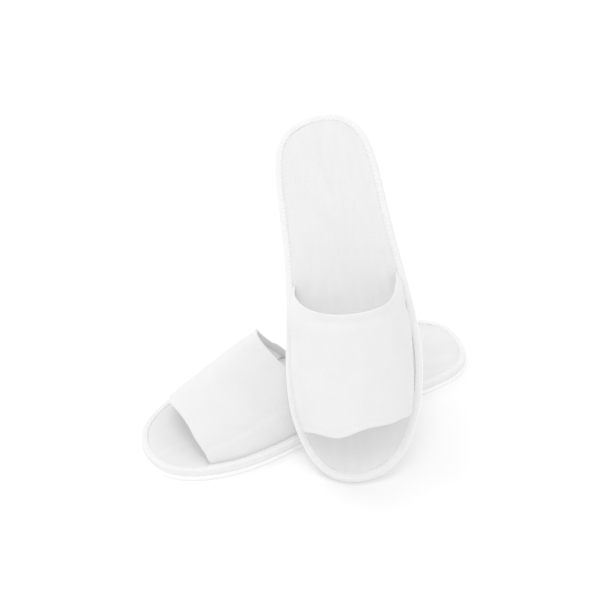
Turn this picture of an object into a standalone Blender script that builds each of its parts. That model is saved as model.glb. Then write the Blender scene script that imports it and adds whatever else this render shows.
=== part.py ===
"""A pair of open-toe spa slippers: the right one lies flat and the left one leans on its vamp.

Each slipper is a stack: a moulded EVA outsole, a backing cloth, a stiffening board, a foam core and
a velour insole cover, bound round the edge by one folded tape. A three-layer vamp arches over it.
A slipper is drawn as a left one, in its own frame: toe towards +Y, big toe towards +X, the floor at
z = 0 and the middle of the sole at the origin. The right slipper is its mirror image.

Metres, +Z up. The origin is the middle of the right slipper's sole, on the floor, and its toe points
towards -Y.
"""

import math
from collections import namedtuple

import bmesh
import bpy
import numpy as np
from mathutils import Matrix, Vector

MM = 0.001

# --- Driving dimensions ---------------------------------------------------------------------------

LENGTH = 285 * MM
# Half widths of the sole at every 20 degrees of a half circle swept from the heel tip to the toe tip.
LATERAL_HALF_WIDTHS = (26.0, 38.0, 43.0, 48.5, 54.5, 53.0, 41.5, 22.5)
MEDIAL_HALF_WIDTHS = (26.5, 39.5, 41.0, 42.0, 47.0, 51.0, 44.5, 29.0)
HEEL_TIP_X = -1.5
TOE_TIP_X = 4.5

GAP = 0.3 * MM  # between neighbouring pieces that touch on the real slipper

OUTSOLE_THICKNESS = 4.0 * MM
OUTSOLE_EDGE_RADIUS = 0.6 * MM
TAPE_THICKNESS = 0.6 * MM
TAPE_WIDTH = 5.2 * MM  # how far the tape folds over the top and the underside
TAPE_INSET = 0.8 * MM  # the outsole stands out this far beyond the tape
BOARD_THICKNESS = 0.8 * MM
FOAM_THICKNESS = 1.3 * MM
COVER_THICKNESS = 0.5 * MM
COVER_CROWN = 0.6 * MM  # the middle of the insole is padded up by this much
COVER_CROWN_INSET = (11.0 * MM, 15.0 * MM)  # where the crown starts and where it is full

VAMP_OUTER_THICKNESS = 0.7 * MM
VAMP_PADDING_THICKNESS = 1.2 * MM
VAMP_LINING_THICKNESS = 0.5 * MM
VAMP_FOOT_INSET = 7.2 * MM
# Where the four corners of the vamp meet the insole, measured from the heel tip.
VAMP_FRONT_LATERAL = 234 * MM
VAMP_REAR_LATERAL = 129 * MM
VAMP_REAR_MEDIAL = 130 * MM

# A vamp's arch. Its front corner on the medial side is measured from the heel tip too. The bulge and
# the throat's depth are how far the middle of the front and rear edges lies ahead of their corners.
VampShape = namedtuple(
    "VampShape", "front_medial front_height rear_height front_bulge throat_depth lean roundness"
)
# The left vamp stands in a full arch; the right one keeps the crease it was packed with.
FULL_ARCH = VampShape(240 * MM, 46 * MM, 69 * MM, 11 * MM, 35 * MM, -7 * MM, 1.29)
CREASED_ARCH = VampShape(247 * MM, 34.5 * MM, 74 * MM, 21.5 * MM, 58 * MM, -2 * MM, 0.54)

THREAD_RADIUS = 0.2 * MM
BINDING_SEAM_INSET = 1.0 * MM  # from the tape's inner edge
REAR_HEM_WIDTH = 6.5 * MM
FRONT_HEM_WIDTH = 4.0 * MM

# How the left slipper lies on the right one.
LEFT_PLACE_X = 8.4 * MM
LEFT_PLACE_Y = 28.1 * MM
LEFT_YAW = math.radians(250.3)
LEFT_TILT = math.radians(-43.8)
LEFT_ROLL = math.radians(10.4)

OUTLINE_POINTS = 52
VAMP_STEPS_ACROSS = 20
VAMP_STEPS_ALONG = 8

# --- Heights worked out from the stack ------------------------------------------------------------

UNDER_FLANGE_Z = OUTSOLE_THICKNESS + GAP
BOARD_Z = UNDER_FLANGE_Z + TAPE_THICKNESS + GAP
FOAM_Z = BOARD_Z + BOARD_THICKNESS + GAP
COVER_Z = FOAM_Z + FOAM_THICKNESS + GAP
TOP_FLANGE_Z = COVER_Z + COVER_THICKNESS + GAP
TAPE_TOP_Z = TOP_FLANGE_Z + TAPE_THICKNESS
VAMP_FOOT_Z = COVER_Z + COVER_THICKNESS + 1.2 * GAP
TAPE_INNER_INSET = TAPE_INSET + TAPE_WIDTH
CORE_INSET = TAPE_INSET + TAPE_THICKNESS + GAP


# --- The outline ----------------------------------------------------------------------------------


def sole_outline(inset=0.0, count=OUTLINE_POINTS):
    """The sole's outline moved inwards by inset, from the heel tip round the lateral side.

    The half widths are joined by their Fourier series, so the outline is smooth all the way round.
    """
    half_widths = [HEEL_TIP_X]
    half_widths += [-width for width in LATERAL_HALF_WIDTHS]
    half_widths += [TOE_TIP_X]
    half_widths += list(reversed(MEDIAL_HALF_WIDTHS))
    terms = np.fft.rfft(np.array(half_widths) * MM) / len(half_widths)
    terms[1:-1] *= 2
    order = np.arange(len(terms))
    sweep = 2 * math.pi * np.arange(count) / count
    waves = np.exp(1j * np.outer(sweep, order))
    x = (waves * terms).real.sum(axis=1)
    x_slope = (waves * terms * 1j * order).real.sum(axis=1)
    y = -LENGTH / 2 * np.cos(sweep)
    y_slope = LENGTH / 2 * np.sin(sweep)
    steepness = np.hypot(x_slope, y_slope)
    x = x + inset * y_slope / steepness
    y = y - inset * x_slope / steepness
    return np.column_stack([x, y])


def foot_line_x(y, side):
    """The x of the vamp's foot line at y, on the lateral (-1) or the medial (+1) side."""
    line = sole_outline(VAMP_FOOT_INSET, 360)
    half = line[:181] if side < 0 else line[180:]
    half = half[np.argsort(half[:, 1])]
    return np.interp(y, half[:, 1], half[:, 0])


# --- Building solids ------------------------------------------------------------------------------


def material(name, colour, roughness):
    made = bpy.data.materials.get(name)
    if made is None:
        made = bpy.data.materials.new(name)
        made.use_nodes = True
        shader = made.node_tree.nodes["Principled BSDF"]
        shader.inputs["Base Color"].default_value = (*colour, 1)
        shader.inputs["Roughness"].default_value = roughness
        shader.inputs["Metallic"].default_value = 0
    return made


class Slipper:
    """One slipper: an empty that places it, and the pieces parented to it."""

    def __init__(self, name, mirror, vamp, placement):
        self.name = name
        self.mirror = -1 if mirror else 1
        self.vamp = vamp
        self.empty = bpy.data.objects.new(name + "_placement", None)
        self.empty.matrix_world = placement
        bpy.context.collection.objects.link(self.empty)

    def add(self, piece, data, finish):
        data.materials.append(finish)
        thing = bpy.data.objects.new(f"{self.name}_{piece}", data)
        bpy.context.collection.objects.link(thing)
        thing.parent = self.empty
        return thing

    def add_mesh(self, piece, shape, finish):
        """Takes a bmesh in left-slipper coordinates, mirrors it if need be, and links it."""
        bmesh.ops.scale(shape, vec=(self.mirror, 1, 1), verts=shape.verts)
        if self.mirror < 0:
            bmesh.ops.reverse_faces(shape, faces=shape.faces)
        data = bpy.data.meshes.new(piece)
        shape.to_mesh(data)
        shape.free()
        data.shade_smooth()
        data.set_sharp_from_angle(angle=math.radians(40))
        return self.add(piece, data, finish)

    def add_thread(self, piece, points, finish, closed):
        """A thread along points given in left-slipper coordinates."""
        data = bpy.data.curves.new(piece, "CURVE")
        data.dimensions = "3D"
        data.bevel_depth = THREAD_RADIUS
        data.bevel_resolution = 0
        data.use_fill_caps = not closed
        spline = data.splines.new("POLY")
        spline.points.add(len(points) - 1)
        for place, (x, y, z) in zip(spline.points, points):
            place.co = (self.mirror * x, y, z, 1)
        spline.use_cyclic_u = closed
        return self.add(piece, data, finish)


def add_loop(shape, points):
    return [shape.verts.new(Vector(point)) for point in points]


def bridge(shape, lower, upper):
    """Joins two closed loops of the same length with quads."""
    count = len(lower)
    for i in range(count):
        j = (i + 1) % count
        shape.faces.new((lower[i], lower[j], upper[j], upper[i]))


def stacked_solid(sections):
    """A closed solid through sections, each an (inset, z) of the outline, capped at both ends."""
    shape = bmesh.new()
    loops = []
    for inset, z in sections:
        loops.append(add_loop(shape, [(x, y, z) for x, y in sole_outline(inset)]))
    for lower, upper in zip(loops, loops[1:]):
        bridge(shape, lower, upper)
    shape.faces.new(loops[0])
    shape.faces.new(loops[-1])
    bmesh.ops.recalc_face_normals(shape, faces=shape.faces)
    return shape


def swept_ring(profile):
    """A closed ring: a closed profile of (inset, z) points carried round the outline."""
    shape = bmesh.new()
    loops = []
    for inset, z in profile:
        loops.append(add_loop(shape, [(x, y, z) for x, y in sole_outline(inset)]))
    for lower, upper in zip(loops, loops[1:] + loops[:1]):
        bridge(shape, lower, upper)
    bmesh.ops.recalc_face_normals(shape, faces=shape.faces)
    return shape


# --- The vamp's surface ---------------------------------------------------------------------------


def vamp_point(vamp, across, along):
    """A point of the vamp's outside. across runs 0 to 1 from lateral to medial, along from front to rear."""
    swing = math.pi * across
    side = -math.cos(swing)
    rise = math.sin(swing)
    lateral_y = VAMP_FRONT_LATERAL + (VAMP_REAR_LATERAL - VAMP_FRONT_LATERAL) * along - LENGTH / 2
    medial_y = vamp.front_medial + (VAMP_REAR_MEDIAL - vamp.front_medial) * along - LENGTH / 2
    lateral_x = foot_line_x(lateral_y, -1)
    medial_x = foot_line_x(medial_y, 1)
    height = vamp.front_height + (vamp.rear_height - vamp.front_height) * along
    reach = vamp.front_bulge + (vamp.throat_depth - vamp.front_bulge) * along
    spread = side * (vamp.roundness + (1 - vamp.roundness) * side * side)
    x = (lateral_x + medial_x) / 2 + (medial_x - lateral_x) / 2 * spread + vamp.lean * rise * rise
    y = (lateral_y + medial_y) / 2 + (medial_y - lateral_y) / 2 * side + reach * rise
    return Vector((x, y, VAMP_FOOT_Z + height * rise))


def vamp_normal(vamp, across, along):
    """The outward normal of the vamp's outside."""
    step = 0.002
    low_across, high_across = max(across - step, 0), min(across + step, 1)
    low_along, high_along = max(along - step, 0), min(along + step, 1)
    across_way = vamp_point(vamp, high_across, along) - vamp_point(vamp, low_across, along)
    along_way = vamp_point(vamp, across, high_along) - vamp_point(vamp, across, low_along)
    return along_way.cross(across_way).normalized()


def vamp_offset_point(vamp, across, along, depth):
    """A point depth inside the vamp's outside, or outside it when depth is negative.

    The foot stays level on the insole, so there the point only moves sideways.
    """
    normal = vamp_normal(vamp, across, along)
    level = min(1.0, math.sin(math.pi * across) * 6)
    normal.z *= level
    normal.normalize()
    return vamp_point(vamp, across, along) - normal * depth


def vamp_layer(vamp, depth):
    """One layer's outer surface, as an open grid with its normals pointing out of the arch."""
    shape = bmesh.new()
    rows = []
    for i in range(VAMP_STEPS_ALONG + 1):
        along = i / VAMP_STEPS_ALONG
        row = []
        for j in range(VAMP_STEPS_ACROSS + 1):
            row.append(shape.verts.new(vamp_offset_point(vamp, j / VAMP_STEPS_ACROSS, along, depth)))
        rows.append(row)
    for front, rear in zip(rows, rows[1:]):
        for j in range(VAMP_STEPS_ACROSS):
            shape.faces.new((rear[j], rear[j + 1], front[j + 1], front[j]))
    return shape


def hem_line(vamp, width, from_rear):
    """A line on the vamp, width in from its rear or front edge, a thread's radius and a gap above it."""
    length = (vamp_point(vamp, 0.5, 0) - vamp_point(vamp, 0.5, 1)).length
    share = width / length
    along = 1 - share if from_rear else share
    clear = GAP + THREAD_RADIUS
    first, last = 0.03, 0.97
    steps = 28
    places = [first + (last - first) * k / steps for k in range(steps + 1)]
    return [vamp_offset_point(vamp, across, along, -clear) for across in places]


def side_seam_line(vamp, side):
    """The line of the seam that holds one side of the vamp down, in the channel outside its foot."""
    inset = (TAPE_INNER_INSET + VAMP_FOOT_INSET) / 2
    front = VAMP_FRONT_LATERAL if side < 0 else vamp.front_medial
    rear = VAMP_REAR_LATERAL if side < 0 else VAMP_REAR_MEDIAL
    z = COVER_Z + COVER_THICKNESS + GAP + THREAD_RADIUS
    line = []
    for x, y in sole_outline(inset, 120):
        if side * x > 0 and rear <= y + LENGTH / 2 <= front:
            line.append((x, y, z))
    return line


# --- The pieces of one slipper --------------------------------------------------------------------


def outsole(slipper):
    shape = stacked_solid([(0, 0), (0, OUTSOLE_THICKNESS)])
    made = slipper.add_mesh("outsole", shape, material("eva_sole", (0.90, 0.90, 0.89), 0.55))
    rounding = made.modifiers.new("edge", "BEVEL")
    rounding.width = OUTSOLE_EDGE_RADIUS
    rounding.segments = 2
    rounding.limit_method = "ANGLE"
    rounding.angle_limit = math.radians(60)


def backing_cloth(slipper):
    inset = TAPE_INNER_INSET + GAP
    shape = stacked_solid([(inset, UNDER_FLANGE_Z), (inset, UNDER_FLANGE_Z + TAPE_THICKNESS)])
    slipper.add_mesh("backing_cloth", shape, material("backing", (0.82, 0.82, 0.80), 0.9))


def insole_board(slipper):
    shape = stacked_solid([(CORE_INSET, BOARD_Z), (CORE_INSET, BOARD_Z + BOARD_THICKNESS)])
    slipper.add_mesh("insole_board", shape, material("fibreboard", (0.62, 0.55, 0.44), 0.8))


def foam_core(slipper):
    shape = stacked_solid([(CORE_INSET, FOAM_Z), (CORE_INSET, FOAM_Z + FOAM_THICKNESS)])
    slipper.add_mesh("foam_core", shape, material("foam", (0.86, 0.85, 0.80), 0.9))


def insole_cover(slipper):
    top = COVER_Z + COVER_THICKNESS
    crown_foot, crown_top = COVER_CROWN_INSET
    shape = stacked_solid(
        [(CORE_INSET, COVER_Z), (CORE_INSET, top), (crown_foot, top), (crown_top, top + COVER_CROWN)]
    )
    slipper.add_mesh("insole_cover", shape, material("velour", (0.80, 0.80, 0.79), 0.95))


def binding_tape(slipper):
    """The tape wraps the edge in a C, open towards the middle of the sole."""
    outer, inner = TAPE_INSET, TAPE_INNER_INSET
    wall = outer + TAPE_THICKNESS
    corner = 0.5 * MM
    profile = [
        (inner, UNDER_FLANGE_Z),
        (outer + corner, UNDER_FLANGE_Z),
        (outer, UNDER_FLANGE_Z + corner),
        (outer, TAPE_TOP_Z - corner),
        (outer + corner, TAPE_TOP_Z),
        (inner, TAPE_TOP_Z),
        (inner, TOP_FLANGE_Z),
        (wall, TOP_FLANGE_Z),
        (wall, UNDER_FLANGE_Z + TAPE_THICKNESS),
        (inner, UNDER_FLANGE_Z + TAPE_THICKNESS),
    ]
    slipper.add_mesh("binding_tape", swept_ring(profile), material("tape", (0.87, 0.87, 0.86), 0.8))


def binding_stitching(slipper):
    z = TAPE_TOP_Z + GAP + THREAD_RADIUS
    line = [(x, y, z) for x, y in sole_outline(TAPE_INNER_INSET - BINDING_SEAM_INSET)]
    slipper.add_thread("binding_stitching", line, thread(), closed=True)


def thread():
    return material("thread", (0.92, 0.92, 0.91), 0.6)


def vamp_shell(slipper, piece, depth, thickness, finish):
    made = slipper.add_mesh(piece, vamp_layer(slipper.vamp, depth), finish)
    wall = made.modifiers.new("thickness", "SOLIDIFY")
    wall.thickness = thickness
    wall.offset = -1
    wall.use_even_offset = True


def vamp(slipper):
    padding_depth = VAMP_OUTER_THICKNESS + GAP
    lining_depth = padding_depth + VAMP_PADDING_THICKNESS + GAP
    felt = material("felt", (0.88, 0.88, 0.87), 0.95)
    sponge = material("sponge", (0.84, 0.83, 0.78), 0.9)
    lining = material("lining", (0.84, 0.84, 0.83), 0.9)
    vamp_shell(slipper, "vamp_outer", 0, VAMP_OUTER_THICKNESS, felt)
    vamp_shell(slipper, "vamp_padding", padding_depth, VAMP_PADDING_THICKNESS, sponge)
    vamp_shell(slipper, "vamp_lining", lining_depth, VAMP_LINING_THICKNESS, lining)


def vamp_stitching(slipper):
    slipper.add_thread("rear_hem_stitching", hem_line(slipper.vamp, REAR_HEM_WIDTH, True), thread(), False)
    slipper.add_thread("front_hem_stitching", hem_line(slipper.vamp, FRONT_HEM_WIDTH, False), thread(), False)
    slipper.add_thread("lateral_seam", side_seam_line(slipper.vamp, -1), thread(), closed=False)
    slipper.add_thread("medial_seam", side_seam_line(slipper.vamp, 1), thread(), closed=False)


def build_slipper(slipper):
    outsole(slipper)
    backing_cloth(slipper)
    insole_board(slipper)
    foam_core(slipper)
    insole_cover(slipper)
    binding_tape(slipper)
    binding_stitching(slipper)
    vamp(slipper)
    vamp_stitching(slipper)


# --- The pair -------------------------------------------------------------------------------------


def left_placement():
    """The left slipper's place: turned, tilted and rolled, with its toe's lowest point on the floor."""
    turn = (
        Matrix.Rotation(LEFT_YAW, 4, "Z")
        @ Matrix.Rotation(LEFT_TILT, 4, "X")
        @ Matrix.Rotation(LEFT_ROLL, 4, "Y")
    )
    lowest = min((turn @ Vector((x, y, 0))).z for x, y in sole_outline())
    return Matrix.Translation((LEFT_PLACE_X, LEFT_PLACE_Y, -lowest)) @ turn


def main():
    for thing in list(bpy.data.objects):
        bpy.data.objects.remove(thing)
    right_placement = Matrix.Rotation(math.pi, 4, "Z")
    build_slipper(Slipper("right", True, CREASED_ARCH, right_placement))
    build_slipper(Slipper("left", False, FULL_ARCH, left_placement()))


main()
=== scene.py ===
"""The look of a pair of open-toe spa slippers: soft bound soles, padded vamps and their stitching.

Each slipper is made in its own frame, as a left one: toe towards +Y, big toe towards +X, the floor at
z = 0 and the middle of the sole at the origin. The right one is mirrored. Lengths are in metres.
"""

import math
from collections import namedtuple

import bpy
import numpy as np
from mathutils import Matrix, Vector


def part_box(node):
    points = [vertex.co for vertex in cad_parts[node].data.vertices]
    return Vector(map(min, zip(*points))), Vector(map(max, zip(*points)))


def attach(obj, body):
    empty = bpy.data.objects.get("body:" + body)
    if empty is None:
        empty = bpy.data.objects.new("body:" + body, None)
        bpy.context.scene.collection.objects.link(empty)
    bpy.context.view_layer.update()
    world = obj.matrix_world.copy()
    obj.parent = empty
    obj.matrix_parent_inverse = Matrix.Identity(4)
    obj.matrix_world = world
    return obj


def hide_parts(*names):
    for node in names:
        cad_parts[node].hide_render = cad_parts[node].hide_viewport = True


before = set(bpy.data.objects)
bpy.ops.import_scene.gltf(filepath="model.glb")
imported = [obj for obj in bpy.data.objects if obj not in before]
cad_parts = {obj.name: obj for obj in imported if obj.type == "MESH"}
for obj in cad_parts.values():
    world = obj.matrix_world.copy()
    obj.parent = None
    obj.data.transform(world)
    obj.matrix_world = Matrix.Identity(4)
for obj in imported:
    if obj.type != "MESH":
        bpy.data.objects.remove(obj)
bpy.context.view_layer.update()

MM = 0.001
TURN = 2 * math.pi

# --- Driving dimensions ---------------------------------------------------------------------------

# The outline, the arches and the two slippers' places are the same as the solids'. The layers'
# heights and insets are near the solids' own. The ribs, dents and waves, the insole's fuller crown,
# the tape's lift, and the vamp's feet going under the tape or spilling over it are only here.
LENGTH = 285 * MM
# In millimetres: the half widths of the sole at every 20 degrees of a half circle swept from the heel
# tip to the toe tip, and how far the two tips are to the side.
LATERAL_HALF_WIDTHS = (26.0, 38.0, 43.0, 48.5, 54.5, 53.0, 41.5, 22.5)
MEDIAL_HALF_WIDTHS = (26.5, 39.5, 41.0, 42.0, 47.0, 51.0, 44.5, 29.0)
HEEL_TIP_X = -1.5
TOE_TIP_X = 4.5

OUTSOLE_TOP = 4.0 * MM
OUTSOLE_EDGE = 0.5 * MM  # how far the rounded side wall stands out from the top and the underside
RIB_PERIOD = 5.2 * MM
RIB_SWAY = 2.2 * MM
RIB_SWAY_PERIOD = 17 * MM
GROOVE_DEPTH = 0.45 * MM
TAPE_INSET = 0.8 * MM
TAPE_INNER_INSET = 6.0 * MM
TAPE_BOTTOM = 4.05 * MM
TAPE_TOP = 9.3 * MM
TAPE_THICKNESS = 0.6 * MM
TAPE_LIFT = 1.0 * MM  # how far the tape rides up beside the vamp
TAPE_SEAM_INSET = TAPE_INNER_INSET - 0.9 * MM
CORE_INSET = 1.9 * MM
BACKING_INSET = TAPE_INNER_INSET + 0.1 * MM
BACKING_BOTTOM = 4.35 * MM
BACKING_THICKNESS = 0.5 * MM
FOAM_BOTTOM = 6.2 * MM
COVER_UNDERSIDE = 7.9 * MM
COVER_TOP = 8.4 * MM
# The insole's cushion stands proud of the cover's edge, and is crowned and puffed on top of that.
CUSHION_HEIGHT = 0.6 * MM
CROWN_HEIGHT = 0.45 * MM
PUFF_LIMIT = 0.9 * MM

VAMP_FOOT_INSET = 7.2 * MM
VAMP_FOOT_Z = 8.76 * MM
VAMP_FRONT_LATERAL = 234 * MM
VAMP_REAR_LATERAL = 129 * MM
VAMP_REAR_MEDIAL = 130 * MM
VAMP_WALL = 2.9 * MM  # fabric, sponge, lining and the turned hem together
FABRIC = 0.5 * MM
# How deep inside the vamp's outside each hidden layer lies, and how far it stops short of the edges.
SPONGE_MIDDLE = 1.2 * MM
SPONGE_HALF = 0.62 * MM
SPONGE_END = 1.3 * MM
LINING_OUTSIDE = 1.90 * MM
LINING_INSIDE = 2.30 * MM
LINING_END = 2.6 * MM
LIP_RADIUS = 0.9 * MM
SAG_LIMIT = 1.4 * MM  # how far the vamp's cloth may move as it settles
FRONT_HEM = 4.0 * MM
REAR_HEM = 6.5 * MM
# How deep the hems' seams draw the fabric in, and over what distance.
FRONT_DENT, FRONT_DENT_WIDTH = 0.30 * MM, 1.0 * MM
REAR_DENT, REAR_DENT_WIDTH = 0.85 * MM, 3.6 * MM
# Behind this share of its length (lateral, medial) the vamp's foot lies out on the tape.
SPILL_FROM = (0.84, 0.70)
SPILL = 4.4 * MM

LEFT_PLACE_X = 8.4 * MM
LEFT_PLACE_Y = 28.1 * MM
LEFT_YAW = math.radians(250.3)
LEFT_TILT = math.radians(-43.8)
LEFT_ROLL = math.radians(10.4)

# The arch of a vamp, and the soft bulges and waves on it. front_medial is how far from the heel its
# front edge meets the medial side. front_bulge and throat_depth are how far the middles of its front
# and rear edges lie ahead of their ends, and lean is how far its top lies towards the medial side.
# With a roundness of 1 it is half an ellipse, with more it is broader at the top, and with less it
# is sharper there.
VampShape = namedtuple(
    "VampShape", "front_medial front_height rear_height front_bulge throat_depth lean roundness waves"
)
# A wave is centred at across, from lateral (0) to medial (1), and along, from the front edge (0) to
# the rear edge (1), and fades out over width and reach. It moves the cloth out sideways from the
# middle, up and forwards.
Wave = namedtuple("Wave", "across along width reach out up forwards")

FULL_ARCH = VampShape(
    front_medial=240 * MM,
    front_height=46 * MM,
    rear_height=69 * MM,
    front_bulge=11 * MM,
    throat_depth=35 * MM,
    lean=-7 * MM,
    roundness=1.29,
    waves=(
        Wave(0.89, 0.50, 0.11, 0.42, 4.2 * MM, 0, 0),
        Wave(0.90, 0.78, 0.10, 0.17, 1.5 * MM, 0, 0),
        Wave(0.10, 0.70, 0.10, 0.18, 2.6 * MM, 0, 0),
        Wave(0.63, 0.00, 0.10, 0.20, 0, -1.5 * MM, 4.8 * MM),
        Wave(0.38, 0.00, 0.08, 0.20, 0, -0.5 * MM, 1.4 * MM),
        Wave(0.20, 0.00, 0.07, 0.14, 0, -1.0 * MM, 1.6 * MM),
        Wave(0.94, 0.00, 0.05, 0.14, 2.4 * MM, 0, 0),
        Wave(0.06, 0.00, 0.05, 0.14, 0.8 * MM, 0, 0),
    ),
)
CREASED_ARCH = VampShape(
    front_medial=247 * MM,
    front_height=34.5 * MM,
    rear_height=74 * MM,
    front_bulge=21.5 * MM,
    throat_depth=58 * MM,
    lean=-2 * MM,
    roundness=0.54,
    waves=(
        Wave(0.68, 0.00, 0.24, 0.35, 0, 0, -7.0 * MM),
        Wave(0.80, 0.00, 0.06, 0.15, 0, 0.7 * MM, 0.9 * MM),
        Wave(0.42, 1.00, 0.20, 0.20, 0, 1.8 * MM, -5.5 * MM),
    ),
)

STITCH_PITCH = 3.4 * MM
STITCH_LENGTH = 2.5 * MM
THREAD_RADIUS = 0.24 * MM
THREAD_SIDES = 6
STITCH_SECTIONS = 9
SIDE_SEAM_HEIGHT = 9.6 * MM

SETTLE_FRAMES = 16

CAMERA_TARGET = Vector((-0.1115, 0.0579, 0.0))
CAMERA_DISTANCE = 2.0
CAMERA_AZIMUTH = math.radians(60.6)
CAMERA_ELEVATION = math.radians(39.04)
CAMERA_LENS = 143.9
LIGHT_TARGET = (0, 0, 0.05)


# --- The outline of the sole ----------------------------------------------------------------------


def outline_terms():
    """The Fourier terms that join the half widths into one smooth outline."""
    half_widths = [HEEL_TIP_X]
    half_widths += [-width for width in LATERAL_HALF_WIDTHS]
    half_widths += [TOE_TIP_X]
    half_widths += list(reversed(MEDIAL_HALF_WIDTHS))
    terms = np.fft.rfft(np.array(half_widths) * MM) / len(half_widths)
    terms[1:-1] *= 2
    return terms


OUTLINE_TERMS = outline_terms()


def edge(sweep, inset=0.0):
    """Points (..., 2) of the outline moved inwards by inset, at angles from the heel tip round the
    lateral side."""
    sweep = np.asarray(sweep, float)
    order = np.arange(len(OUTLINE_TERMS))
    waves = np.exp(1j * sweep[..., None] * order)
    x = (waves * OUTLINE_TERMS).real.sum(axis=-1)
    x_slope = (waves * OUTLINE_TERMS * 1j * order).real.sum(axis=-1)
    y = -LENGTH / 2 * np.cos(sweep)
    y_slope = LENGTH / 2 * np.sin(sweep)
    steepness = np.hypot(x_slope, y_slope) + 1e-12
    return np.stack([x + inset * y_slope / steepness, y - inset * x_slope / steepness], axis=-1)


def even_sweeps(inset, count):
    """Sweep angles once round the outline, evenly spaced along it, and the outline's length."""
    fine = np.linspace(0, TURN, 3000)
    steps = np.linalg.norm(np.diff(edge(fine, inset), axis=0), axis=1)
    run = np.concatenate([[0], np.cumsum(steps)])
    return np.interp(np.linspace(0, run[-1], count), run, fine), run[-1]


def sole_grid(inset, across, along):
    """A grid (along, across, 2) that fills the outline from toe to heel, smooth up to its edge."""
    up, side = np.meshgrid(np.linspace(1, -1, along), np.linspace(-1, 1, across), indexing="ij")
    disc_x = side * np.sqrt(1 - up * up / 2)
    disc_y = np.clip(up * np.sqrt(1 - side * side / 2), -1, 1)
    half_chord = np.sqrt(np.maximum(1 - disc_y * disc_y, 1e-12))
    share = np.clip(disc_x / half_chord, -1, 1)[..., None]
    sweep = np.arccos(-disc_y)
    return edge(sweep, inset) * (1 - share) / 2 + edge(-sweep, inset) * (1 + share) / 2


def depth_from_edge(points):
    """How far each point (..., 2) lies inside the outline."""
    line = edge(np.linspace(0, TURN, 720, endpoint=False))
    flat = points.reshape(-1, 2)
    nearest = np.full(len(flat), np.inf)
    for part in np.array_split(line, 12):
        gaps = np.linalg.norm(flat[:, None] - part[None], axis=2)
        nearest = np.minimum(nearest, gaps.min(axis=1))
    return nearest.reshape(points.shape[:-1])


def smooth_step(value, low, high):
    share = np.clip((value - low) / (high - low), 0, 1)
    return share * share * (3 - 2 * share)


def bell(value, width):
    return np.exp(-((value / width) ** 2))


def joined(plan, height):
    """Points (..., 3) from a plan (..., 2) and a height that may be one number."""
    height = np.broadcast_to(height, plan.shape[:-1])
    return np.concatenate([plan, height[..., None]], axis=-1)


# --- Meshes from grids ----------------------------------------------------------------------------


def grid_quads(rows, columns, wrap_rows=False, wrap_columns=False, offset=0):
    """Quads over a grid of points, and the same quads over the unwrapped grid of their UVs."""
    row, column = np.meshgrid(
        np.arange(rows - 1 + wrap_rows), np.arange(columns - 1 + wrap_columns), indexing="ij"
    )
    quads = []
    flat_quads = []
    for down, right in ((0, 0), (1, 0), (1, 1), (0, 1)):
        quads.append(((row + down) % rows) * columns + (column + right) % columns + offset)
        flat_quads.append((row + down) * (columns + wrap_columns) + column + right)
    return (
        np.stack([corner.ravel() for corner in quads], axis=1),
        np.stack([corner.ravel() for corner in flat_quads], axis=1),
    )


def new_mesh(name, points, quads, corner_uvs):
    mesh = bpy.data.meshes.new(name)
    mesh.from_pydata(points.reshape(-1, 3).tolist(), [], quads.tolist())
    layer = mesh.uv_layers.new(name="metres")
    layer.data.foreach_set("uv", corner_uvs.astype(np.float32).ravel())
    mesh.shade_smooth()
    mesh.validate()
    return mesh


def unit(vectors):
    return vectors / (np.linalg.norm(vectors, axis=-1, keepdims=True) + 1e-12)


def grid_normals(points):
    """Unit normals of a grid: the side that faces you when rows run down and columns run right."""
    return unit(np.cross(np.gradient(points, axis=0), np.gradient(points, axis=1)))


def grid_uvs(points):
    """UVs in metres: the average run along the columns and along the rows."""
    across = np.linalg.norm(np.diff(points, axis=1), axis=2).mean(axis=0)
    along = np.linalg.norm(np.diff(points, axis=0), axis=2).mean(axis=1)
    u = np.concatenate([[0], np.cumsum(across)])
    v = np.concatenate([[0], np.cumsum(along)])
    return np.stack(np.meshgrid(u, v), axis=-1)


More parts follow.
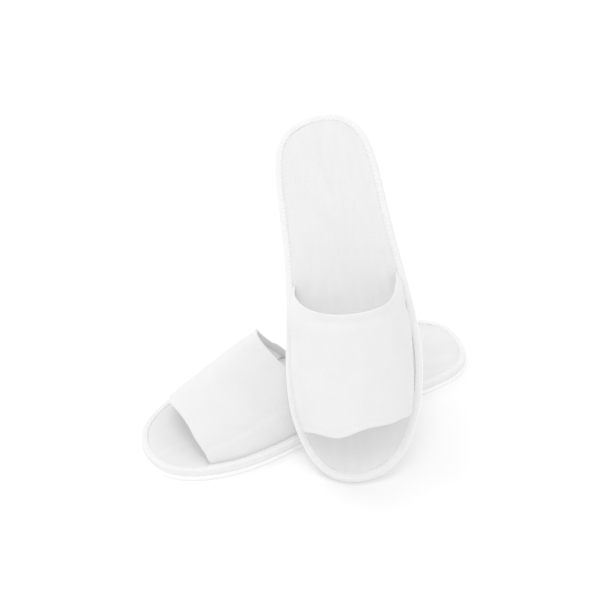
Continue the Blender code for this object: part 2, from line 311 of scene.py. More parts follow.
class Slipper:
    """One slipper: which body it is, how it is mirrored and where it is placed."""

    def __init__(self, name, mirrored, vamp, placement):
        self.name = name
        self.mirrored = mirrored
        self.vamp = vamp
        self.placement = placement

    def add(self, piece, node, slot, finish, points, quads, corner_uvs):
        """Links a piece that stands for one CAD node and rides on this slipper's body."""
        points = points.reshape(-1, 3).copy()
        if self.mirrored:
            points[:, 0] *= -1
            quads = quads[:, ::-1]
            corner_uvs = corner_uvs[:, ::-1]
        placement = np.array(self.placement)
        points = points @ placement[:3, :3].T + placement[:3, 3]
        name = f"{self.name}_{piece}"
        thing = bpy.data.objects.new(name, new_mesh(name, points, quads, corner_uvs))
        thing.data.materials.append(finish)
        bpy.context.collection.objects.link(thing)
        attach(thing, f"{self.name}_slipper")
        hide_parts(f"{self.name}_{node}")
        return thing

    def add_shell(self, piece, node, slot, finish, top, bottom, uvs=None):
        """A closed piece between two grids of the same size, the top one facing out."""
        rows, columns = top.shape[:2]
        uvs = (grid_uvs(top) if uvs is None else uvs).reshape(-1, 2)
        upper, flat = grid_quads(rows, columns)
        lower = grid_quads(rows, columns, offset=rows * columns)[0][:, ::-1]
        rim = rim_indices(rows, columns)
        following = np.roll(rim, -1)
        walls = np.stack([rim, rim + rows * columns, following + rows * columns, following], axis=1)
        wall_uvs = uvs[np.stack([rim, rim, following, following], axis=1)]
        points = np.concatenate([top.reshape(-1, 3), bottom.reshape(-1, 3)])
        quads = np.concatenate([upper, lower, walls[:, ::-1]])
        corner_uvs = np.concatenate([uvs[flat], uvs[flat[:, ::-1]], wall_uvs[:, ::-1]])
        return self.add(piece, node, slot, finish, points, quads, corner_uvs)

    def add_ring(self, piece, node, slot, finish, points):
        """A closed ring from a grid that wraps both ways."""
        rows, columns = points.shape[:2]
        unrolled = np.concatenate([points, points[:1]], axis=0)
        unrolled = np.concatenate([unrolled, unrolled[:, :1]], axis=1)
        uvs = grid_uvs(unrolled).reshape(-1, 2)
        quads, flat = grid_quads(rows, columns, True, True)
        return self.add(piece, node, slot, finish, points, quads, uvs[flat])


def rim_indices(rows, columns):
    """The border of a grid, once round."""
    top = np.arange(columns)
    right = np.arange(1, rows) * columns + columns - 1
    bottom = (rows - 1) * columns + np.arange(columns - 2, -1, -1)
    left = np.arange(rows - 2, 0, -1) * columns
    return np.concatenate([top, right, bottom, left])


# --- Cloth that settles ---------------------------------------------------------------------------


def smoothed(grid, passes):
    """A grid with each point drawn towards its neighbours, as stiff padded cloth does."""
    for _ in range(passes):
        padded = np.pad(grid, ((1, 1), (1, 1), (0, 0)), mode="edge")
        around = padded[:-2, 1:-1] + padded[2:, 1:-1] + padded[1:-1, :-2] + padded[1:-1, 2:]
        grid = grid / 2 + around / 8
    return grid


def settle(points, hold, cap, gravity=(0, 0, 0), pressure=0.0, slack=0.0):
    """Lets a grid of cloth settle, and returns where its points go, at most cap from where they were.

    hold is how firmly each point stays put, from 0 to 1. slack is how much longer the cloth is than
    the shape that it starts in.
    """
    rows, columns = points.shape[:2]
    quads, flat = grid_quads(rows, columns)
    uvs = grid_uvs(points).reshape(-1, 2)
    cloth_thing = bpy.data.objects.new("settling", new_mesh("settling", points, quads, uvs[flat]))
    bpy.context.collection.objects.link(cloth_thing)
    group = cloth_thing.vertex_groups.new(name="hold")
    for index, weight in enumerate(np.broadcast_to(hold, (rows, columns)).ravel()):
        group.add([index], float(weight), "REPLACE")
    cloth = cloth_thing.modifiers.new("cloth", "CLOTH")
    cloth.collision_settings.use_collision = False
    cloth.point_cache.frame_start = 1
    cloth.point_cache.frame_end = SETTLE_FRAMES
    made_of = cloth.settings
    made_of.quality = 8
    made_of.mass = 0.05
    made_of.air_damping = 6
    made_of.tension_stiffness = 12
    made_of.compression_stiffness = 12
    made_of.shear_stiffness = 6
    made_of.bending_stiffness = 3
    made_of.vertex_group_mass = "hold"
    made_of.pin_stiffness = 0.6
    made_of.shrink_min = -slack
    made_of.use_pressure = pressure > 0
    made_of.uniform_pressure_force = pressure
    scene = bpy.context.scene
    kept_gravity = scene.gravity.copy()
    scene.gravity = gravity
    for number in range(1, SETTLE_FRAMES + 1):
        scene.frame_set(number)
    settled = cloth_thing.evaluated_get(bpy.context.evaluated_depsgraph_get())
    moved = np.empty(rows * columns * 3)
    settled.data.vertices.foreach_get("co", moved)
    scene.gravity = kept_gravity
    bpy.data.objects.remove(cloth_thing)
    scene.frame_set(1)
    change = smoothed(moved.reshape(points.shape) - points, 4)
    size = np.linalg.norm(change, axis=2, keepdims=True)
    return points + change * np.minimum(1, cap / (size + 1e-9))


# --- Looks ----------------------------------------------------------------------------------------


class Look:
    """A material and the few node patterns that it is built from."""

    def __init__(self, name, roughness, sheen=0.0, specular=0.3):
        self.material = bpy.data.materials.new(name)
        self.material.use_nodes = True
        self.tree = self.material.node_tree
        self.shader = self.tree.nodes["Principled BSDF"]
        self.shader.inputs["Roughness"].default_value = roughness
        self.shader.inputs["Specular IOR Level"].default_value = specular
        self.shader.inputs["Sheen Weight"].default_value = sheen
        self.shader.inputs["Sheen Roughness"].default_value = 0.45
        self.place = self.tree.nodes.new("ShaderNodeTexCoord")

    def feed(self, socket, value):
        if isinstance(value, bpy.types.NodeSocket):
            self.tree.links.new(value, socket)
        else:
            socket.default_value = value

    def scaled(self, coordinates, scale, turn=0.0):
        """Object or UV coordinates in metres, times scale along each axis."""
        node = self.tree.nodes.new("ShaderNodeMapping")
        self.feed(node.inputs["Vector"], self.place.outputs[coordinates])
        node.inputs["Scale"].default_value = scale
        node.inputs["Rotation"].default_value = (0, 0, turn)
        return node.outputs["Vector"]

    def noise(self, vector, detail=3.0, roughness=0.55):
        node = self.tree.nodes.new("ShaderNodeTexNoise")
        self.feed(node.inputs["Vector"], vector)
        node.inputs["Scale"].default_value = 1
        node.inputs["Detail"].default_value = detail
        node.inputs["Roughness"].default_value = roughness
        return node.outputs["Fac"]

    def cells(self, vector):
        node = self.tree.nodes.new("ShaderNodeTexVoronoi")
        self.feed(node.inputs["Vector"], vector)
        node.inputs["Scale"].default_value = 1
        return node.outputs["Distance"]

    def bands(self, vector, direction):
        """Soft ridges, one for each unit along direction."""
        node = self.tree.nodes.new("ShaderNodeTexWave")
        node.bands_direction = direction
        self.feed(node.inputs["Vector"], vector)
        node.inputs["Scale"].default_value = 1 / 3.1831  # the node's own period is 0.314 units
        return node.outputs["Fac"]

    def maths(self, kind, first, second):
        node = self.tree.nodes.new("ShaderNodeMath")
        node.operation = kind
        self.feed(node.inputs[0], first)
        self.feed(node.inputs[1], second)
        return node.outputs[0]

    def weighted(self, *pairs):
        """The sum of patterns, each times its weight."""
        total = 0.0
        for pattern, weight in pairs:
            total = self.maths("ADD", total, self.maths("MULTIPLY", pattern, weight))
        return total

    def colour(self, pattern, low, high):
        """Base colour between two greys, or two colours, as the pattern goes from 0.3 to 0.7."""
        node = self.tree.nodes.new("ShaderNodeValToRGB")
        self.feed(node.inputs["Fac"], pattern)
        for stop, at, tint in zip(node.color_ramp.elements, (0.3, 0.7), (low, high)):
            stop.position = at
            stop.color = (*tint, 1) if hasattr(tint, "__len__") else (tint, tint, tint, 1)
        self.feed(self.shader.inputs["Base Color"], node.outputs["Color"])

    def bump(self, height, distance, strength):
        node = self.tree.nodes.new("ShaderNodeBump")
        self.feed(node.inputs["Height"], height)
        node.inputs["Distance"].default_value = distance
        node.inputs["Strength"].default_value = strength
        self.feed(self.shader.inputs["Normal"], node.outputs["Normal"])


def brushed_felt():
    """The vamp's outside: short brushed nap, with soft mottling across it."""
    look = Look("brushed_felt", 0.95, sheen=0.25, specular=0.12)
    cloudy = look.noise(look.scaled("UV", (55, 55, 55)), 4)
    nap = look.noise(look.scaled("UV", (380, 950, 900)), 3, 0.65)
    fibres = look.noise(look.scaled("UV", (2600, 1500, 2600)), 2, 0.6)
    look.colour(look.weighted((cloudy, 0.4), (nap, 0.4), (fibres, 0.2)), 0.725, 0.80)
    look.bump(look.weighted((cloudy, 0.5), (nap, 0.35), (fibres, 0.15)), 0.7 * MM, 0.8)
    return look.material


def velour():
    """The insole's cover: cut pile, with streaks that run lengthwise where it was brushed."""
    look = Look("velour", 0.95, sheen=0.2, specular=0.1)
    streaks = look.noise(look.scaled("UV", (180, 28, 60)), 4)
    patches = look.noise(look.scaled("UV", (70, 45, 60)), 3)
    pile = look.noise(look.scaled("UV", (1500, 1100, 1500)), 3, 0.7)
    look.colour(look.weighted((streaks, 0.4), (patches, 0.3), (pile, 0.3)), 0.725, 0.80)
    look.bump(look.weighted((streaks, 0.2), (pile, 0.8)), 0.45 * MM, 0.9)
    return look.material


def woven_tape():
    """The binding: a plain weave whose threads run along and across the tape."""
    look = Look("woven_tape", 0.85, sheen=0.12, specular=0.2)
    warp = look.bands(look.scaled("UV", (1700, 1700, 1)), "X")
    weft = look.bands(look.scaled("UV", (1700, 1700, 1)), "Y")
    weave = look.maths("MULTIPLY", warp, weft)
    rubbed = look.noise(look.scaled("UV", (120, 120, 120)), 3)
    look.colour(look.weighted((rubbed, 0.7), (weave, 0.3)), 0.825, 0.875)
    look.bump(weave, 0.12 * MM, 0.8)
    return look.material


def knitted_lining():
    """The vamp's lining: fine knitted ribs."""
    look = Look("knitted_lining", 0.9, sheen=0.15, specular=0.15)
    ribs = look.bands(look.scaled("UV", (900, 900, 1)), "X")
    loops = look.bands(look.scaled("UV", (1300, 1300, 1), math.radians(35)), "Y")
    knit = look.maths("MULTIPLY", ribs, loops)
    cloudy = look.noise(look.scaled("UV", (80, 80, 80)), 3)
    look.colour(look.weighted((cloudy, 0.6), (knit, 0.4)), 0.88, 0.93)
    look.bump(knit, 0.18 * MM, 0.8)
    return look.material


def twisted_thread():
    """Sewing thread: two plies that twist round each other."""
    look = Look("twisted_thread", 0.6, sheen=0.1, specular=0.3)
    plies = look.bands(look.scaled("UV", (1100, 1100, 1), math.radians(38)), "X")
    tone = look.noise(look.scaled("UV", (600, 600, 600)), 2)
    look.colour(look.weighted((plies, 0.5), (tone, 0.5)), 0.86, 0.94)
    look.bump(plies, 0.08 * MM, 0.9)
    return look.material


def moulded_eva():
    """The outsole: closed-cell foam with a fine skin and a few scuffs."""
    look = Look("moulded_eva", 0.5, specular=0.35)
    skin = look.noise(look.scaled("UV", (1400, 1400, 1400)), 3, 0.6)
    cells = look.cells(look.scaled("UV", (1100, 1100, 1100)))
    scuffs = look.noise(look.scaled("UV", (40, 90, 40)), 5, 0.7)
    look.colour(look.weighted((scuffs, 0.7), (skin, 0.3)), 0.95, 0.975)
    look.bump(look.weighted((cells, 0.4), (skin, 0.6)), 0.10 * MM, 0.6)
    return look.material


def open_foam():
    """Soft foam and sponge: small open cells."""
    look = Look("open_foam", 0.95, specular=0.1)
    cells = look.cells(look.scaled("UV", (1300, 1300, 1300)))
    cloudy = look.noise(look.scaled("UV", (90, 90, 90)), 3)
    look.colour(look.weighted((cells, 0.6), (cloudy, 0.4)), (0.80, 0.79, 0.74), (0.86, 0.85, 0.81))
    look.bump(cells, 0.3 * MM, 0.9)
    return look.material


def nonwoven_backing():
    """The cloth under the board: bonded fibres with small pressed points."""
    look = Look("nonwoven_backing", 0.9, sheen=0.1, specular=0.15)
    fibres = look.noise(look.scaled("UV", (1200, 500, 1200)), 4, 0.7)
    points = look.cells(look.scaled("UV", (700, 700, 700)))
    look.colour(look.weighted((fibres, 0.6), (points, 0.4)), 0.76, 0.84)
    look.bump(look.weighted((fibres, 0.5), (points, 0.5)), 0.12 * MM, 0.8)
    return look.material


def pressed_fibreboard():
    """The stiffener: grey-brown pressed pulp with darker flecks."""
    look = Look("pressed_fibreboard", 0.85, specular=0.2)
    flecks = look.noise(look.scaled("Object", (700, 400, 700)), 5, 0.75)
    cloudy = look.noise(look.scaled("Object", (60, 60, 60)), 3)
    look.colour(
        look.weighted((flecks, 0.7), (cloudy, 0.3)), (0.50, 0.42, 0.32), (0.68, 0.61, 0.50)
    )
    look.bump(flecks, 0.12 * MM, 0.7)
    return look.material


# --- The sole's pieces ----------------------------------------------------------------------------


def along_vamp(slipper, plan):
    """Where points of the sole's edge lie along the vamp's foot: 0 at its front and 1 at its rear."""
    from_heel = plan[..., 1] + LENGTH / 2
    lateral = plan[..., 0] < 0
    rear = np.where(lateral, VAMP_REAR_LATERAL, VAMP_REAR_MEDIAL)
    front = np.where(lateral, VAMP_FRONT_LATERAL, slipper.vamp.front_medial)
    return (front - from_heel) / (front - rear)


def add_outsole(slipper, finish):
    """The moulded sole, with wavy grip ribs underneath and a rounded edge."""
    plan = sole_grid(OUTSOLE_EDGE, across=62, along=330)
    depth = depth_from_edge(plan)
    sway = RIB_SWAY * np.sin(plan[..., 0] * TURN / RIB_SWAY_PERIOD)
    ribs = np.sin((plan[..., 1] + sway) * TURN / RIB_PERIOD)
    groove = smooth_step(ribs, -0.1, 0.75) * smooth_step(depth, 5.5 * MM, 7 * MM)
    bottom = joined(plan, GROOVE_DEPTH * groove)
    top = joined(plan, OUTSOLE_TOP)
    rows, columns = top.shape[:2]
    rim = rim_indices(rows, columns)
    # The side wall goes round the rim in sections of (how far out, height), in millimetres.
    sections = (
        (0.25, 3.95), (0.43, 3.78), (0.50, 3.50), (0.50, 2.00),
        (0.50, 0.60), (0.40, 0.25), (0.20, 0.06),
    )
    edge_points = plan.reshape(-1, 2)[rim]
    ahead = unit(np.roll(edge_points, -1, axis=0) - np.roll(edge_points, 1, axis=0))
    outward = np.stack([-ahead[:, 1], ahead[:, 0]], axis=1)
    outward *= np.sign((outward * edge_points).sum(axis=1).mean())
    loops = [rim]
    points = [top.reshape(-1, 3), bottom.reshape(-1, 3)]
    following = 2 * rows * columns
    for out, height in sections:
        points.append(joined(edge_points + outward * out * MM, height * MM))
        loops.append(np.arange(len(rim)) + following)
        following += len(rim)
    loops.append(rim + rows * columns)
    upper = grid_quads(rows, columns)[0]
    lower = grid_quads(rows, columns, offset=rows * columns)[0][:, ::-1]
    walls = []
    for higher, deeper in zip(loops, loops[1:]):
        walls.append(np.stack([np.roll(higher, -1), np.roll(deeper, -1), deeper, higher], axis=1))
    quads = np.concatenate([upper, lower, *walls])
    points = np.concatenate(points)
    corner_uvs = points[quads][..., :2]
    slipper.add("moulded_sole", "outsole", "eva_sole", finish, points, quads, corner_uvs)


def tape_lift(slipper, plan):
    """How far the tape rides up over the vamp's edges."""
    along = along_vamp(slipper, plan)
    last = np.where(plan[..., 0] < 0, *SPILL_FROM)
    return TAPE_LIFT * smooth_step(along, -0.05, 0) * (1 - smooth_step(along, last - 0.06, last + 0.04))


def add_tape(slipper, finish):
    """The binding: a C round the edge, drawn in between stitches."""
    steps_per_stitch = 6
    seam = TAPE_SEAM_INSET
    length = even_sweeps(seam, 2)[1]
    stitches = round(length / STITCH_PITCH)
    sweep = even_sweeps(seam, stitches * steps_per_stitch + 1)[0][:-1]
    phase = np.arange(len(sweep)) / steps_per_stitch
    pucker = 0.5 - 0.5 * np.cos(phase * TURN)
    # Two slow waves, of about 17 and 56 stitches, because a sewn edge isn't quite even.
    uneven = 0.15 * MM * np.sin(phase * 0.37) * np.sin(phase * 0.113 + 1)
    lift = tape_lift(slipper, edge(sweep, seam))
    low, high, outer, inner = TAPE_BOTTOM, TAPE_TOP, TAPE_INSET, TAPE_INNER_INSET
    wall = TAPE_THICKNESS
    # (inset, height, how much it rides up over the vamp, how much it puckers between stitches)
    profile = (
        (inner, low + wall, 0, 0), (inner, low, 0, 0), (outer + 0.3 * MM, low, 0, 0),
        (outer + 0.05 * MM, low + 0.06 * MM, 0, 0), (outer, low + 0.25 * MM, 0, 0),
        (outer - 0.05 * MM, (low + high) / 2, 0.3, 0), (outer + 0.05 * MM, high - 1.3 * MM, 0.7, 0),
        (outer + 0.4 * MM, high - 0.45 * MM, 1, 0), (outer + 1.1 * MM, high - 0.08 * MM, 1, 0.2),
        (outer + 2.2 * MM, high + 0.05 * MM, 1, 0.5), (inner - 1.5 * MM, high - 0.02 * MM, 1, 0.8),
        (seam, high - 0.16 * MM, 1, 1), (inner - 0.45 * MM, high - 0.06 * MM, 1, 1),
        (inner - 0.08 * MM, high - 0.14 * MM, 1, 1), (inner, high - 0.32 * MM, 1, 1),
        (inner - 0.2 * MM, high - wall, 1, 0.6), (outer + 2.2 * MM, high - wall, 1, 0),
        (outer + 1.1 * MM, high - wall - 0.2 * MM, 1, 0),
        (outer + wall, high - 1.5 * MM, 0.6, 0), (outer + wall, low + 1.2 * MM, 0, 0),
        (outer + 1.2 * MM, low + wall, 0, 0),
    )
    columns = []
    for inset, height, ride, gather in profile:
        near_edge = smooth_step(inset, inner - 2 * MM, inner) * ride
        plan = edge(sweep, inset + uneven * near_edge - 0.12 * MM * pucker * gather * near_edge)
        columns.append(joined(plan, height + lift * ride - 0.16 * MM * (1 - pucker) * gather))
    points = np.stack(columns, axis=1)[:, ::-1]
    tape = slipper.add_ring("binding", "binding_tape", "tape", finish, points)


def add_insole(slipper, finishes):
    """The backing cloth, the foam and the velour cover, from the bottom up."""
    plan = sole_grid(CORE_INSET, across=58, along=128)
    depth = depth_from_edge(plan)
    along_foot = along_vamp(slipper, plan)
    beside_vamp = smooth_step(along_foot, -0.04, 0) * (1 - smooth_step(along_foot, 1, 1.04))
    cushion = CUSHION_HEIGHT * (1 - beside_vamp) * smooth_step(depth, 5.5 * MM, 6.2 * MM)
    cushion = np.maximum(cushion, CUSHION_HEIGHT * smooth_step(depth, 10.5 * MM, 14 * MM))
    bulge = cushion + CROWN_HEIGHT * smooth_step(depth, 7 * MM, 20 * MM)
    cover = joined(plan, COVER_TOP + bulge)
    free = smooth_step(depth, 6.5 * MM, 11 * MM)
    puffed = settle(cover, 1 - 0.96 * free, PUFF_LIMIT, pressure=0.3)
    rise = np.maximum(puffed[..., 2] - cover[..., 2], 0) * free
    cover[..., 2] += rise
    thickness = COVER_TOP - COVER_UNDERSIDE
    backing_plan = sole_grid(BACKING_INSET, across=40, along=90)
    backing_top = joined(backing_plan, BACKING_BOTTOM + BACKING_THICKNESS)
    backing_bottom = joined(backing_plan, BACKING_BOTTOM)
    backing = slipper.add_shell(
        "sole_backing", "backing_cloth", "backing", finishes["backing"],
        backing_top, backing_bottom, backing_plan,
    )
    foam = slipper.add_shell(
        "insole_foam", "foam_core", "foam", finishes["foam"],
        joined(plan, cover[..., 2] - thickness - 0.05 * MM), joined(plan, FOAM_BOTTOM), plan,
    )
    velvet = slipper.add_shell(
        "velour_insole", "insole_cover", "velour", finishes["velour"],
        cover, joined(plan, cover[..., 2] - thickness), plan,
    )


# --- The vamp -------------------------------------------------------------------------------------


def foot_line_x(y, side):
    """The x of the vamp's foot line at y, on the lateral (-1) or the medial (+1) side."""
    sweep = np.linspace(0, math.pi, 400)
    line = edge(sweep if side < 0 else -sweep, VAMP_FOOT_INSET)
    return np.interp(y, line[:, 1], line[:, 0])


def on_tape(across, along):
    """0 where the vamp's foot is under the tape, and 1 where it stands on the tape."""
    start = SPILL_FROM[0] + (SPILL_FROM[1] - SPILL_FROM[0]) * across
    return smooth_step(along, start - 0.04, start + 0.14)


def spill(across, along):
    """How far the vamp's foot lies out on the tape, from 0 to 1. It comes back in at the corner."""
    return on_tape(across, along) * (1 - 0.85 * smooth_step(along, 0.93, 1))


def arch_points(vamp, across, along):
    """Points of the vamp's outside. across runs from lateral to medial, along from front to rear."""
    swing = math.pi * across
    side = -np.cos(swing)
    rise = np.sin(swing)
    lateral_y = VAMP_FRONT_LATERAL + (VAMP_REAR_LATERAL - VAMP_FRONT_LATERAL) * along - LENGTH / 2
    medial_y = vamp.front_medial + (VAMP_REAR_MEDIAL - vamp.front_medial) * along - LENGTH / 2
    lateral_x = foot_line_x(lateral_y, -1)
    medial_x = foot_line_x(medial_y, 1)
    height = vamp.front_height + (vamp.rear_height - vamp.front_height) * along
    reach = vamp.front_bulge + (vamp.throat_depth - vamp.front_bulge) * along
    spread = side * (vamp.roundness + (1 - vamp.roundness) * side * side)
    x = (lateral_x + medial_x) / 2 + (medial_x - lateral_x) / 2 * spread + vamp.lean * rise * rise
    y = (lateral_y + medial_y) / 2 + (medial_y - lateral_y) / 2 * side + reach * rise
    z = VAMP_FOOT_Z + height * rise
    x = x + SPILL * spill(across, along) * side * side * side
    for wave in vamp.waves:
        strength = bell(across - wave.across, wave.width) * bell(along - wave.along, wave.reach)
        strength = strength * smooth_step(rise, 0, 0.3)
        x = x + wave.out * strength * np.sign(side)
        y = y + wave.forwards * strength
        z = z + wave.up * strength
    return np.stack([x, y, z], axis=-1)


class VampSurface:
    """The settled outside of a vamp, and the layers under it."""

    ROWS, COLUMNS = 45, 81
    TUCKS = 4  # the points of a layer's row that lie beyond the arch, at each end

    def __init__(self, slipper):
        places = np.linspace(0.008, 0.992, self.COLUMNS)  # the wall stops just above its two feet
        along, across = np.meshgrid(np.linspace(0, 1, self.ROWS), places, indexing="ij")
        arch = arch_points(slipper.vamp, across, along)
        free = np.minimum(smooth_step(across, 0.02, 0.16), smooth_step(1 - across, 0.02, 0.16))
        down = slipper.placement.to_3x3().inverted() @ Vector((0, 0, -9.81))
        if slipper.mirrored:
            down.x *= -1
        self.points = settle(arch, 1 - 0.9 * free, SAG_LIMIT, gravity=down, slack=0.003)
        self.normals = grid_normals(self.points)
        # Near the feet the layers lie side by side, so the normals are turned level there.
        level = np.minimum(1, np.sin(math.pi * across) * 6)
        self.normals[..., 2] *= level
        self.normals = unit(self.normals)
        middle = self.points[:, self.COLUMNS // 2]
        self.length = np.linalg.norm(np.diff(middle, axis=0), axis=1).sum()

    def row(self, distance):
        """The points and normals of the line across the vamp at a distance behind its front edge."""
        place = np.clip(distance / self.length, 0, 1) * (self.ROWS - 1)
        before = min(int(place), self.ROWS - 2)
        share = place - before
        points = self.points[before] * (1 - share) + self.points[before + 1] * share
        normals = self.normals[before] * (1 - share) + self.normals[before + 1] * share
        return points, unit(normals)

    def layer_row(self, distance, depth):
        """A line across the vamp, depth inside its outside. The wall is thinner towards the hems. Both
        ends are tucked under the tape, or stand on it where the foot lies out on the tape."""
        points, normals = self.row(distance)
        from_hem = min(distance, self.length - distance)
        depth = depth * (0.62 + 0.38 * smooth_step(from_hem, 0, 5 * MM))
        points = points - normals * depth
        sides = []
        for end in (0, -1):
            standing = on_tape(-end, distance / self.length)
            outward = normals[end] * (1, 1, 0)
            outward = outward / np.linalg.norm(outward)
            foot = points[end] * (1, 1, 0)
            height = TAPE_TOP + 0.05 * MM * standing - 0.8 * MM * (1 - standing) * depth / VAMP_WALL
            far = (4.2 * MM + depth) * (1 - standing) + 0.4 * MM * standing
            tucks = []
            for out, up in ((far, 0.0), (far / 2, 0.0), (far / 6, 0.0), (far / 16, 0.12 * MM)):
                tucks.append(foot + outward * out + np.array((0, 0, height + up)))
            sides.append(tucks if end == 0 else tucks[::-1])
        return np.concatenate([sides[0], points, sides[1]])

    def layer(self, path):
        return np.stack([self.layer_row(distance, depth) for distance, depth in path])


def hem_dent(place, length):
    """How far the hems' seams draw the fabric down into the sponge."""
    front = FRONT_DENT * bell(place - FRONT_HEM, FRONT_DENT_WIDTH)
    rear = REAR_DENT * bell(place - (length - REAR_HEM), REAR_DENT_WIDTH)
    return front + rear


def hem_path(length):
    """The visible side of the vamp's outer fabric, as (distance from the front edge, depth): in from
    the front hem, round the front lip, over the vamp, round the rear lip and in along the rear hem."""
    lip = LIP_RADIUS
    middle = VAMP_WALL / 2
    bends = np.linspace(0, math.pi, 9)
    path = [(place, VAMP_WALL) for place in np.linspace(FRONT_HEM, lip, 4)[:-1]]
    path += [(lip - lip * math.sin(bend), middle + middle * math.cos(bend)) for bend in bends]
    path += [(place, hem_dent(place, length)) for place in np.linspace(lip, length - lip, 74)[1:-1]]
    path += [(length - lip + lip * math.sin(bend), middle - middle * math.cos(bend)) for bend in bends]
    path += [(place, VAMP_WALL) for place in np.linspace(length - lip, length - REAR_HEM, 5)[1:]]
    return path


def add_vamp(slipper, surface, finishes):
    """The outer fabric with its turned hems, the sponge and the lining."""
    visible = surface.layer(hem_path(surface.length))
    hidden = visible - grid_normals(visible) * FABRIC
    fabric = slipper.add_shell("vamp_fabric", "vamp_outer", "felt", finishes["felt"], visible, hidden)

    lines = 56
    inside = np.linspace(SPONGE_END, surface.length - SPONGE_END, lines)
    end = np.minimum(inside - inside[0], inside[-1] - inside)
    taper = 0.25 + 0.75 * np.sqrt(smooth_step(end, 0, 4 * MM))
    dents = hem_dent(inside, surface.length)
    sponge_top = surface.layer(zip(inside, SPONGE_MIDDLE - SPONGE_HALF * taper + dents))
    sponge_low = surface.layer(zip(inside, SPONGE_MIDDLE + SPONGE_HALF * taper))
    arch_only = slice(surface.TUCKS, -surface.TUCKS)
    sponge = slipper.add_shell(
        "vamp_sponge", "vamp_padding", "sponge", finishes["foam"],
        sponge_top[:, arch_only], sponge_low[:, arch_only],
    )

    lined = np.linspace(LINING_END, surface.length - LINING_END, lines)
    upper = surface.layer([(place, LINING_OUTSIDE) for place in lined])
    lower = surface.layer([(place, LINING_INSIDE) for place in lined])
    lining = slipper.add_shell("vamp_knit", "vamp_lining", "lining", finishes["lining"], upper, lower)


# --- Stitching ------------------------------------------------------------------------------------


def stitched(line, ups):
    """Points, quads and UVs of a row of stitches along a line, each stitch dipping into the cloth."""
    run = np.concatenate([[0], np.cumsum(np.linalg.norm(np.diff(line, axis=0), axis=1))])
    count = max(1, round(run[-1] / STITCH_PITCH))
    pitch = run[-1] / count
    shares = np.linspace(0, 1, STITCH_SECTIONS)
    around = np.linspace(0, TURN, THREAD_SIDES + 1)[:-1]
    points = []
    quads = []
    uvs = []
    ring, flat = grid_quads(len(shares), len(around), wrap_columns=True)
    for number in range(count):
        at = (number + 0.5) * pitch + (shares - 0.5) * STITCH_LENGTH
        middle = np.stack([np.interp(at, run, line[:, axis]) for axis in range(3)], axis=1)
        up = unit(np.stack([np.interp(at, run, ups[:, axis]) for axis in range(3)], axis=1))
        ahead = unit(np.gradient(middle, axis=0))
        beside = unit(np.cross(ahead, up))
        dip = np.abs(2 * shares - 1) ** 3
        middle = middle + up * (0.18 - 0.5 * dip)[:, None] * MM
        radius = THREAD_RADIUS * (1 - 0.45 * dip)
        for share_index in range(len(shares)):
            for angle in around:
                spoke = math.cos(angle) * beside[share_index] + math.sin(angle) * up[share_index]
                points.append(middle[share_index] + radius[share_index] * spoke)
        quads.append(ring + number * len(shares) * len(around))
        girth = np.linspace(0, TURN * THREAD_RADIUS, THREAD_SIDES + 1)
        u, v = np.meshgrid(girth, shares * STITCH_LENGTH)
        uvs.append(np.stack([u, v], axis=-1).reshape(-1, 2)[flat])
        first = number * len(shares) * len(around)
        last = first + (len(shares) - 1) * len(around)
        for order in ((0, 1, 2, 3), (0, 3, 4, 5)):
            quads.append(np.array([[first + step for step in order]]))
            quads.append(np.array([[last + step for step in order[::-1]]]))
            uvs.append(np.zeros((2, 4, 2)))
    return np.array(points), np.concatenate(quads), np.concatenate(uvs)


def add_stitches(slipper, node, line, ups, finish):
    points, quads, corner_uvs = stitched(line, ups)
    slipper.add(node + "_thread", node, "thread", finish, points, quads, corner_uvs)


def add_stitching(slipper, surface, finish):
    """The binding's seam, the two seams beside the vamp's feet and the two hem seams."""
    plan = edge(even_sweeps(TAPE_SEAM_INSET, 900)[0], TAPE_SEAM_INSET)
    line = joined(plan, TAPE_TOP - 0.05 * MM + tape_lift(slipper, plan))
    add_stitches(slipper, "binding_stitching", line, np.broadcast_to((0.0, 0, 1), line.shape), finish)

    channel = (TAPE_INNER_INSET + VAMP_FOOT_INSET) / 2
    for piece, way, last in (("lateral_seam", 1, SPILL_FROM[0]), ("medial_seam", -1, SPILL_FROM[1])):
        plan = edge(np.linspace(0, math.pi, 900) * way, channel)
        along = along_vamp(slipper, plan)
        line = joined(plan[(along > 0.02) & (along < last)], SIDE_SEAM_HEIGHT)
        add_stitches(slipper, piece, line, np.broadcast_to((0.0, 0, 1), line.shape), finish)

    hems = (
        ("front_hem_stitching", FRONT_HEM, FRONT_DENT + 0.30 * MM),
        ("rear_hem_stitching", surface.length - REAR_HEM, REAR_DENT + 0.40 * MM),
    )
    for piece, place, sunk in hems:
        line, ups = surface.row(place)
        line = (line - ups * sunk)[2:-2]
        add_stitches(slipper, piece, line, ups[2:-2], finish)


# --- The pair -------------------------------------------------------------------------------------


def left_placement():
    """The left slipper's place: turned, tilted and rolled, with its toe's lowest point on the floor."""
    turn = (
        Matrix.Rotation(LEFT_YAW, 4, "Z")
        @ Matrix.Rotation(LEFT_TILT, 4, "X")
        @ Matrix.Rotation(LEFT_ROLL, 4, "Y")
    )
    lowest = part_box("left_outsole")[0][2]
    heights = [(turn @ Vector((x, y, 0))).z for x, y in edge(np.linspace(0, TURN, 720))]
    return Matrix.Translation((LEFT_PLACE_X, LEFT_PLACE_Y, lowest - min(heights))) @ turn


def add_slipper(slipper, finishes):
    add_outsole(slipper, finishes["eva"])
    add_insole(slipper, finishes)
    add_tape(slipper, finishes["tape"])
    surface = VampSurface(slipper)
    add_vamp(slipper, surface, finishes)
    add_stitching(slipper, surface, finishes["thread"])
    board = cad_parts[f"{slipper.name}_insole_board"]
    board.data.materials.clear()
    board.data.materials.append(finishes["board"])


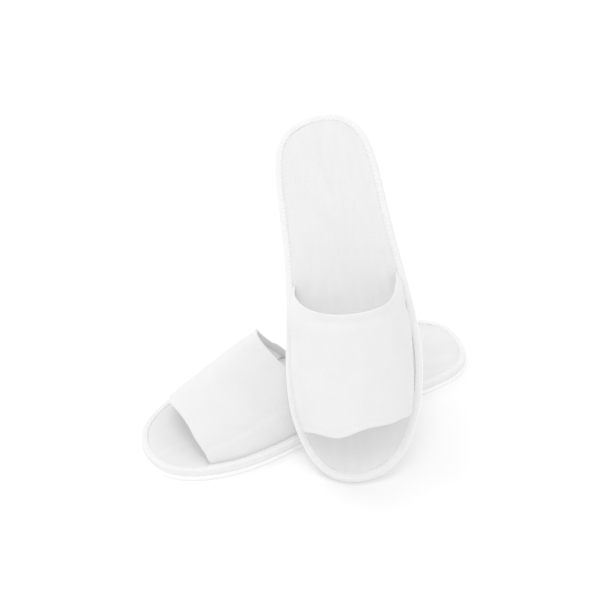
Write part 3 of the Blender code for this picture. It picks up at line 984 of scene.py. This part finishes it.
def add_floor():
    mesh = bpy.data.meshes.new("floor")
    reach = 6.0
    height = -0.05 * MM
    corners = [(-reach, -reach), (reach, -reach), (reach, reach), (-reach, reach)]
    mesh.from_pydata([(x, y, height) for x, y in corners], [], [(0, 1, 2, 3)])
    look = Look("floor", 0.9, specular=0.05)
    look.colour(look.noise(look.scaled("Object", (8, 8, 8)), 3), 0.945, 0.955)
    mesh.materials.append(look.material)
    floor = bpy.data.objects.new("floor", mesh)
    bpy.context.collection.objects.link(floor)


def aim(thing, place, target):
    thing.location = place
    thing.rotation_euler = (Vector(target) - Vector(place)).to_track_quat("-Z", "Y").to_euler()


def add_light(name, power, size, place):
    light = bpy.data.lights.new(name, "AREA")
    light.energy = power
    light.size = size
    thing = bpy.data.objects.new(name, light)
    bpy.context.collection.objects.link(thing)
    aim(thing, place, LIGHT_TARGET)


def add_studio():
    """A white sky, a soft light high on the camera's left and a smaller one above the camera."""
    world = bpy.data.worlds.new("studio")
    bpy.context.scene.world = world
    world.use_nodes = True
    sky = world.node_tree.nodes["Background"]
    sky.inputs["Color"].default_value = (1, 1, 1, 1)
    sky.inputs["Strength"].default_value = 0.91
    add_light("key", 8.5, 1.2, (-1.1, -0.55, 2.0))
    add_light("fill", 7.5, 0.7, (0.6, -0.5, 2.2))
    shown = bpy.context.scene.view_settings
    shown.view_transform = "Standard"
    shown.look = "None"
    shown.gamma = 1.4


def add_camera():
    level = CAMERA_DISTANCE * math.cos(CAMERA_ELEVATION)
    offset = Vector((
        level * math.sin(CAMERA_AZIMUTH),
        -level * math.cos(CAMERA_AZIMUTH),
        CAMERA_DISTANCE * math.sin(CAMERA_ELEVATION),
    ))
    camera = bpy.data.cameras.new("camera")
    camera.lens = CAMERA_LENS
    thing = bpy.data.objects.new("camera", camera)
    bpy.context.collection.objects.link(thing)
    aim(thing, CAMERA_TARGET + offset, CAMERA_TARGET)
    bpy.context.scene.camera = thing


def main():
    finishes = {
        "eva": moulded_eva(),
        "backing": nonwoven_backing(),
        "board": pressed_fibreboard(),
        "foam": open_foam(),
        "velour": velour(),
        "tape": woven_tape(),
        "thread": twisted_thread(),
        "felt": brushed_felt(),
        "lining": knitted_lining(),
    }
    right_placement = Matrix.Rotation(math.pi, 4, "Z")
    add_slipper(Slipper("right", True, CREASED_ARCH, right_placement), finishes)
    add_slipper(Slipper("left", False, FULL_ARCH, left_placement()), finishes)
    add_floor()
    add_studio()
    add_camera()


main()
